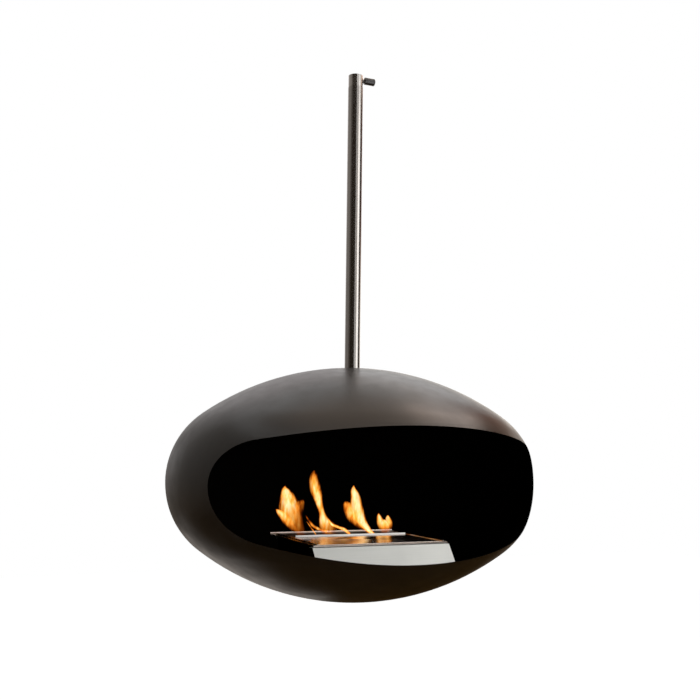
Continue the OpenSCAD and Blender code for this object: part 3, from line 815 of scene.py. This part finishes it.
@dataclass
class Flames:
    """The four flames over the slot, each a group of lofted tongues.

    Attributes:
        groups: The flames' names and their tongues, the main one first.
        steps: The rings from one station of a tongue to the next.
        sides: The sides of a ring.
        flatness: A ring's depth as a share of its width.
        cool: The share of its heat that a tongue has at its tip.
        smothered: The share of a flame's height that is left under the closed lid. Not used.
        swell: How much wider the tongues are than their stations, as their rims glow too little to be seen.
        least: The least half width of a ring in millimetres.
    """

    groups: dict[str, tuple[Tongue, ...]] = field(default_factory=lambda: {
        "flame_far_left": (
            Tongue(48, ((-154, -11, 1), (-155, -19, 8), (-151, -33, 16), (-146, -50, 23), (-141, -70, 26),
                        (-131, -90, 22), (-121, -107, 16), (-110, -124, 11), (-103, -140, 7)), 0.64, 1.06),
            Tongue(44, ((-179, -67, 1), (-172, -73, 6), (-162, -81, 10), (-149, -95, 12), (-137, -108, 10),
                        (-123, -122, 7), (-111, -138, 4)), 0.64, 0.95),
            Tongue(54, ((-106, -46, 3), (-108, -51, 8), (-114, -61, 13), (-119, -76, 14), (-117, -92, 12),
                        (-112, -108, 10), (-106, -124, 8), (-100, -140, 5)), 0.95, 0.55),
        ),
        "flame_tall": (
            Tongue(48, ((-79, 26, 2), (-79, 16, 9), (-79, -2, 13), (-74, -22, 14), (-67, -44, 11), (-62, -62, 8),
                        (-56, -80, 8), (-51, -98, 13), (-42, -113, 20), (-33, -126, 20), (-26, -140, 14)),
                   0.3, 1.0, 0.4),
            Tongue(44, ((-101, -83, 1), (-93, -96, 3), (-81, -110, 4), (-63, -119, 4), (-42, -125, 4)), 0.04, 0.55),
            Tongue(20, ((-107, -97, 1), (-95, -113, 1.5), (-86, -124, 1.5), (-76, -140, 1)), 0.05, 0.6),
            Tongue(22, ((-54, -86, 2), (-42, -104, 3.5), (-24, -112, 4), (-4, -120, 4.5), (8, -131, 4),
                        (20, -145, 2.5)), 0.04, 0.9),
        ),
        "flame_right": (
            Tongue(48, ((29, -11, 1), (29, -24, 8), (34, -43, 13), (36, -63, 16), (41, -81, 16.5), (49, -96, 14),
                        (59, -111, 10.5), (72, -124, 7.5), (87, -137, 4.5), (100, -146, 3)), 0.12, 1.15, 0.12),
            Tongue(44, ((7, -51, 4), (8, -57, 10), (14, -71, 14), (24, -87, 15), (38, -102, 13), (53, -116, 9),
                        (68, -132, 5)), 0.5, 0.75),
        ),
        "flame_small": (
            Tongue(48, ((99, -82, 1), (100, -90, 6), (105, -105, 10), (112, -120, 11), (116, -138, 8)), 0.5, 0.95),
            Tongue(52, ((127, -88, 2), (128, -98, 8), (130, -113, 10), (127, -132, 7)), 0.5, 0.95),
            Tongue(46, ((113, -98, 2), (115, -106, 9), (118, -118, 13), (121, -136, 10)), 0.5, 0.85),
        ),
    })
    steps: int = 5
    sides: int = 20
    flatness: float = 0.5
    cool: float = 0.42
    smothered: float = 0.05
    swell: float = 1.1
    least: float = 0.4

    @staticmethod
    def between(values: Sequence[Sequence[float]], index: int, t: float) -> list[float]:
        """Gives a smooth value between two stations.

        Args:
            values: The stations.
            index: The station before.
            t: The share of the way to the next one.

        Returns:
            The values on the curve through the stations.
        """
        last = len(values) - 1
        a, b, c, d = (values[min(max(index + k, 0), last)] for k in (-1, 0, 1, 2))
        return [
            q + 0.5 * t * (r - p + t * (2 * p - 5 * q + 4 * r - s + t * (3 * (q - r) + s - p)))
            for p, q, r, s in zip(a, b, c, d)
        ]

    def rings(self, tongue: Tongue) -> list[Matrix]:
        """Gives the place, turn and size of each ring along a tongue, from tip to foot.

        Args:
            tongue: The tongue.

        Returns:
            A matrix for each ring, which carries a unit circle to it.
        """
        spine = [
            self.between(tongue.stations, i, k / self.steps)
            for i in range(len(tongue.stations) - 1)
            for k in range(self.steps)
        ] + [list(tongue.stations[-1])]
        found = []
        for i, (x, z, half) in enumerate(spine):
            ahead, behind = spine[min(i + 1, len(spine) - 1)], spine[max(i - 1, 0)]
            lean = math.atan2(behind[0] - ahead[0], behind[1] - ahead[1])
            place = Matrix.Translation((x / 1000, tongue.back / 1000, EQUATOR + z / 1000))
            size = max(half * self.swell, self.least) / 1000
            found.append(
                place @ Matrix.Rotation(lean, 4, "Y") @ Matrix.Diagonal((size, size * self.flatness, size, 1.0))
            )
        return found

    def loft(self, bm: bmesh.types.BMesh, tongue: Tongue) -> None:
        """Adds one tongue to a mesh, with its heat and rise written on its vertices.

        Args:
            bm: The mesh.
            tongue: The tongue.
        """
        heat, rise = bm.verts.layers.float["warmth"], bm.verts.layers.float["rise"]
        rings = self.rings(tongue)
        verts = bmesh.ops.create_circle(bm, cap_ends=False, segments=self.sides, radius=1.0)["verts"]
        edges = list({e for v in verts for e in v.link_edges})
        bmesh.ops.transform(bm, matrix=rings[0], verts=verts)
        for i, ring in enumerate(rings):
            if i:
                grown = bmesh.ops.extrude_edge_only(bm, edges=edges)["geom"]
                verts = [g for g in grown if isinstance(g, bmesh.types.BMVert)]
                edges = [g for g in grown if isinstance(g, bmesh.types.BMEdge)]
                bmesh.ops.transform(bm, matrix=ring @ rings[i - 1].inverted(), verts=verts)
            down = i / (len(rings) - 1)
            tip = tongue.heat * min(1.0, self.cool + (1.0 - self.cool) * down / tongue.tip)
            for vert in verts:
                across = (ring.inverted() @ vert.co).x
                vert[heat] = max(0.0, 1.0 - across * across) * tip
                vert[rise] = min(1.0, (1.0 - down) / tongue.fade)

    def build(self) -> list[bpy.types.Object]:
        """Builds the flames.

        Returns:
            One piece for each flame.
        """
        glow = FlameGlow().build()
        pieces = []
        for name, tongues in self.groups.items():
            bm = bmesh.new()
            for layer in ("warmth", "rise"):
                bm.verts.layers.float.new(layer)
            for tongue in tongues:
                self.loft(bm, tongue)
            piece = show(bm, name, "burner", [glow])
            piece.visible_shadow = False
            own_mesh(piece)
            pieces.append(piece)
        return pieces


# ---------------------------------------------------------------------------
# studio


@dataclass(frozen=True)
class SoftBox:
    """A soft lamp.

    Attributes:
        name: Its name.
        turn: Where it stands round the pole, in degrees from the camera's side, positive to the picture's right.
        reach: Its distance from the pole's axis.
        height: Its height.
        size: Its width and height.
        power: Its power in watts.
        tint: Its colour.
        aim: What it faces.
        mirrored: Whether reflections show it.
    """

    name: str
    turn: float
    reach: float
    height: float
    size: tuple[float, float]
    power: float
    tint: Colour = (1.0, 1.0, 1.0)
    aim: tuple[float, float, float] = (0.0, 0.0, -0.95)
    mirrored: bool = True


@dataclass(frozen=True)
class Flat:
    """A curved studio flat that only reflections see.

    Attributes:
        name: Its name.
        turns: Where it starts and ends round the pole, in degrees from the camera's side.
        tones: Heights, from low to high, and the light that it gives back there.
        reach: The distance of its lower and its upper edge from the pole's axis.
    """

    name: str
    turns: tuple[float, float]
    tones: tuple[tuple[float, Colour], ...]
    reach: tuple[float, float] = (3.2, 3.2)


@dataclass(frozen=True)
class LevelFlat:
    """A level studio flat that only reflections see.

    Attributes:
        name: Its name.
        height: Its height.
        half: Half its side.
        tone: The light that it gives back.
    """

    name: str
    height: float
    half: float
    tone: Colour


SOFT_BOXES = (
    SoftBox("soft_box_right", 70, 2.6, -0.4, (1.3, 2.6), 19.0),
    SoftBox("soft_box_top", 119, 1.9, 1.5, (1.7, 1.5), 18.0, (1.0, 0.78, 0.66)),
    SoftBox("fill_front", 60, 1.35, -0.72, (0.5, 0.5), 9.0, aim=(0.1, -0.2, -1.2), mirrored=False),
)
UNSEEN_BY = ("camera", "diffuse", "shadow", "transmission")  # the rays that don't see a flat
RUG_TINT = (1.0, 0.9, 0.82)
BELOW_TONE = (0.045, 0.022, 0.004)
HIGH_TONE = (0.6, 0.54, 0.5)


def rug(name: str, turns: tuple[float, float], inner: float, low: float, high: float) -> Flat:
    """Describes a slope at the studio's foot that is brighter outwards.

    Args:
        name: Its name.
        turns: Where it starts and ends round the pole, in degrees from the camera's side.
        inner: The distance of its inner edge from the pole's axis.
        low: The light that it gives back at its inner edge.
        high: The light that it gives back at its outer edge.

    Returns:
        The slope as a flat.
    """
    near, far = (tuple(tone * part for part in RUG_TINT) for tone in (low, high))
    return Flat(name, turns, ((-2.27, near), (-1.95, far)), (inner, 3.1))


FLATS = (
    Flat("flat_front", (-46, 24), (
        (-2.25, (0.03, 0.02, 0.012)), (-1.0, (0.035, 0.028, 0.02)), (2.2, (0.04, 0.032, 0.025)),
    )),
    Flat("flat_front_left", (-68, -46), (
        (-2.25, (0.07, 0.05, 0.035)), (-1.0, (0.12, 0.105, 0.095)), (2.2, (0.17, 0.155, 0.14)),
    )),
    Flat("flat_side", (88, 126), ((-2.25, (0.03, 0.02, 0.015)), (1.6, (0.05, 0.04, 0.035)))),
    Flat("flat_pole", (34, 52), ((-0.3, (0.5, 0.48, 0.46)), (1.3, (0.6, 0.58, 0.56)))),
    Flat("flat_left", (-125, -68), (
        (-2.25, (0.12, 0.085, 0.06)), (-1.6, (0.18, 0.15, 0.125)), (-1.03, (0.23, 0.21, 0.19)),
        (-0.2, (0.28, 0.265, 0.255)), (0.6, (0.34, 0.32, 0.30)), (1.3, (0.34, 0.32, 0.30)),
        (2.2, (0.34, 0.32, 0.30)),
    )),
    Flat("flat_left_mid", (-150, -125), (
        (-2.25, (0.11, 0.085, 0.07)), (-1.6, (0.18, 0.155, 0.13)), (-1.03, (0.37, 0.34, 0.325)),
        (-0.59, (0.51, 0.49, 0.48)), (-0.2, (0.43, 0.41, 0.40)), (0.6, (0.55, 0.52, 0.51)),
        (1.3, (0.66, 0.63, 0.62)), (2.2, (0.70, 0.66, 0.66)),
    )),
    Flat("flat_left_back", (-178, -150), (
        (-2.25, (0.06, 0.035, 0.02)), (-1.6, (0.20, 0.165, 0.14)), (-1.03, (0.30, 0.27, 0.25)),
        (-0.2, (0.74, 0.71, 0.70)), (0.4, (0.86, 0.82, 0.82)), (1.3, (1.04, 0.98, 0.98)),
        (2.2, (1.1, 1.0, 0.98)),
    )),
    Flat("flat_right", (126, 152), (
        (-2.25, (0.10, 0.065, 0.04)), (-0.8, (0.20, 0.17, 0.15)), (-0.3, (0.97, 0.88, 0.79)),
        (0.05, (0.86, 0.68, 0.57)), (0.45, (0.34, 0.14, 0.09)), (0.9, (0.20, 0.06, 0.03)),
        (1.4, (0.22, 0.05, 0.02)), (1.7, (0.36, 0.16, 0.10)),
    )),
    Flat("flat_back", (152, 182), (
        (-2.25, (0.22, 0.16, 0.11)), (-1.1, (0.42, 0.35, 0.29)), (-0.3, (2.2, 2.04, 1.86)),
        (0.2, (0.96, 0.90, 0.84)), (0.8, (1.38, 1.40, 1.42)), (1.7, (1.72, 1.64, 1.6)), (2.6, (1.8, 1.6, 1.5)),
    )),
    rug("flat_rug_back", (-175, -157), 1.35, 0.46, 0.92),
    rug("flat_rug_mid", (-157, -142), 1.15, 0.50, 0.72),
    rug("flat_rug_left", (-142, -122), 1.0, 0.20, 0.30),
    LevelFlat("flat_below", -2.28, 1.4, BELOW_TONE),
    Flat("flat_below_back", (80, 292), ((-2.282, BELOW_TONE), (-2.281, BELOW_TONE)), (0.5, 7.9)),
    LevelFlat("flat_above", 2.3, 1.45, (1.0, 0.84, 0.72)),
    Flat("flat_high_right", (95, 150), ((2.28, HIGH_TONE), (2.29, HIGH_TONE)), (1.45, 2.3)),
    Flat("flat_high_left", (-125, -50), ((2.28, HIGH_TONE), (2.29, HIGH_TONE)), (1.45, 2.3)),
)


@dataclass
class Studio:
    """The camera, the pale floor and backdrop, and the soft lamps round the fireplace.

    Attributes:
        heading: The camera's turn from straight ahead, in radians.
        distance: The camera's distance from the pole's axis.
        height: The camera's height.
        pitch: How far it looks up, in radians.
        roll: Its roll, in radians.
        picture: The picture's side in pixels.
        focal: The camera's focal length in such pixels.
        centre: The picture's principal point in such pixels.
        sensor: The side of the camera's sensor in millimetres.
        clip: The nearest and the farthest distance that the camera sees.
        ambient: The level of the light from all round.
        floor_height: The height of the floor.
        floor_half: Half the floor's side.
        floor_grey: The floor's own colour.
        floor_rough: The floor's roughness.
        lift: How far the floor is lifted towards white where the camera sees it.
        bend: The straight pieces that make up a curved flat.
    """

    heading: float = 0.4085
    distance: float = 2.3
    height: float = -0.954
    pitch: float = 0.0854
    roll: float = 0.012
    picture: float = 700.0
    focal: float = 925.0
    centre: tuple[float, float] = (352.2, 370.0)
    sensor: float = 36.0
    clip: tuple[float, float] = (0.05, 60.0)
    ambient: float = 0.55
    floor_height: float = -2.3
    floor_half: float = 8.0
    floor_grey: Colour = (0.9, 0.9, 0.9)
    floor_rough: float = 0.9
    lift: float = 0.53
    bend: int = 24

    def camera(self) -> None:
        """Sets up the camera at the photograph's angle."""
        ahead = Vector((math.sin(self.heading), math.cos(self.heading), 0.0))
        right = Vector((math.cos(self.heading), -math.sin(self.heading), 0.0))
        look = ahead * math.cos(self.pitch) + Vector((0.0, 0.0, math.sin(self.pitch)))
        up = right.cross(look)
        side = right * math.cos(self.roll) + up * math.sin(self.roll)
        top = up * math.cos(self.roll) - right * math.sin(self.roll)
        data = bpy.data.cameras.new("camera")
        data.sensor_width = self.sensor
        data.lens = self.focal / self.picture * self.sensor
        data.shift_x = (self.picture / 2 - self.centre[0]) / self.picture
        data.shift_y = (self.centre[1] - self.picture / 2) / self.picture
        data.clip_start, data.clip_end = self.clip
        camera = bpy.data.objects.new("camera", data)
        place = ahead * -self.distance + Vector((0.0, 0.0, self.height))
        camera.matrix_world = Matrix.Translation(place) @ Matrix((side, top, -look)).transposed().to_4x4()
        bpy.context.scene.collection.objects.link(camera)
        bpy.context.scene.camera = camera

    def around(self, turn: float, reach: float, height: float) -> Vector:
        """Gives a place round the pole.

        Args:
            turn: Degrees round from the camera's side, positive to the picture's right.
            reach: The distance from the pole's axis.
            height: The height.

        Returns:
            The place.
        """
        angle = math.radians(turn) - self.heading
        return Vector((math.sin(angle) * reach, -math.cos(angle) * reach, height))

    def backdrop(self) -> None:
        """Makes the pale world and the pale floor."""
        world = bpy.data.worlds.new("world")
        bpy.context.scene.world = world
        world.use_nodes = True
        tree = Tree(world.node_tree)
        background = tree.nodes["Background"]
        background.inputs["Color"].default_value = (1.0, 1.0, 1.0, 1.0)
        tree.join(tree.spread(tree.in_view(), self.ambient, 1.0, 0.0, 1.0), background.inputs["Strength"])

        surface = Surface("floor_pale")
        surface.shader.inputs["Base Color"].default_value = (*self.floor_grey, 1.0)
        surface.shader.inputs["Roughness"].default_value = self.floor_rough
        surface.shader.inputs["Emission Color"].default_value = (1.0, 1.0, 1.0, 1.0)
        lifted = surface.spread(surface.in_view(), 0.0, self.lift, 0.0, 1.0)
        surface.join(lifted, surface.shader.inputs["Emission Strength"])
        self.put(self.square(self.floor_height, self.floor_half), "floor", surface.material)

    def lamp(self, box: SoftBox) -> None:
        """Adds a soft lamp.

        Args:
            box: The lamp.
        """
        data = bpy.data.lights.new(box.name, "AREA")
        data.shape = "RECTANGLE"
        data.size, data.size_y = box.size
        data.energy = box.power
        data.color = box.tint
        lamp = bpy.data.objects.new(box.name, data)
        lamp.location = self.around(box.turn, box.reach, box.height)
        lamp.rotation_mode = "QUATERNION"
        lamp.rotation_quaternion = (Vector(box.aim) - lamp.location).to_track_quat("-Z", "Y")
        lamp.visible_camera = False
        lamp.visible_glossy = box.mirrored
        bpy.context.scene.collection.objects.link(lamp)

    def curved(self, flat: Flat) -> None:
        """Adds a curved flat.

        Args:
            flat: The flat.
        """
        low, high = flat.tones[0][0], flat.tones[-1][0]
        bm = bmesh.new()
        ends = [bm.verts.new(self.around(flat.turns[0], out, z)) for out, z in zip(flat.reach, (low, high))]
        bmesh.ops.spin(
            bm, geom=[*ends, bm.edges.new(ends)], cent=(0.0, 0.0, 0.0), axis=(0.0, 0.0, 1.0),
            angle=math.radians(flat.turns[1] - flat.turns[0]), steps=self.bend, use_merge=False,
        )
        surface = Surface(flat.name)
        share = surface.spread(surface.height(), 0.0, 1.0, low, high)
        bright = max(max(tone) for _, tone in flat.tones)
        stops = [((z - low) / (high - low), tuple(part / bright for part in tone)) for z, tone in flat.tones]
        glow = surface.lantern()
        surface.join(surface.ramp(share, stops), glow.inputs["Color"])
        glow.inputs["Strength"].default_value = bright
        self.put(bm, flat.name, surface.material, UNSEEN_BY)

    @staticmethod
    def square(height: float, half: float) -> bmesh.types.BMesh:
        """Makes a level square round the pole's axis.

        Args:
            height: Its height.
            half: Half its side.

        Returns:
            The square.
        """
        bm = bmesh.new()
        bmesh.ops.create_grid(bm, x_segments=1, y_segments=1, size=half)
        bmesh.ops.translate(bm, verts=bm.verts[:], vec=(0.0, 0.0, height))
        return bm

    def level(self, flat: LevelFlat) -> None:
        """Adds a level flat.

        Args:
            flat: The flat.
        """
        surface = Surface(flat.name)
        surface.lantern().inputs["Color"].default_value = (*flat.tone, 1.0)
        self.put(self.square(flat.height, flat.half), flat.name, surface.material, UNSEEN_BY)

    @staticmethod
    def put(bm: bmesh.types.BMesh, name: str, material: bpy.types.Material, hidden: Sequence[str] = ()) -> None:
        """Puts a piece in the studio.

        Args:
            bm: The piece's mesh, which is freed.
            name: Its name.
            material: Its material.
            hidden: The kinds of ray that don't see it.
        """
        mesh = bpy.data.meshes.new(name)
        bm.to_mesh(mesh)
        bm.free()
        mesh.materials.append(material)
        piece = bpy.data.objects.new(name, mesh)
        for kind in hidden:
            setattr(piece, "visible_" + kind, False)
        bpy.context.scene.collection.objects.link(piece)

    def build(self) -> None:
        """Sets up the whole studio."""
        bpy.context.scene.view_settings.view_transform = "Standard"
        self.camera()
        self.backdrop()
        for box in SOFT_BOXES:
            self.lamp(box)
        for flat in FLATS:
            if isinstance(flat, LevelFlat):
                self.level(flat)
            else:
                self.curved(flat)


def main() -> None:
    """Builds the fireplace's looks and the studio."""
    logging.basicConfig(level=logging.INFO, format="%(name)s: %(message)s")
    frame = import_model()
    nodes = frame["nodes"]
    for assembly in (Shell(nodes), Suspension(nodes), Cradle(nodes), Burner(nodes), Flames()):
        for piece in assembly.build():
            LOG.info("%s: %d faces", piece.name, len(piece.data.polygons))
    Studio().build()


if __name__ == "__main__":
    main()
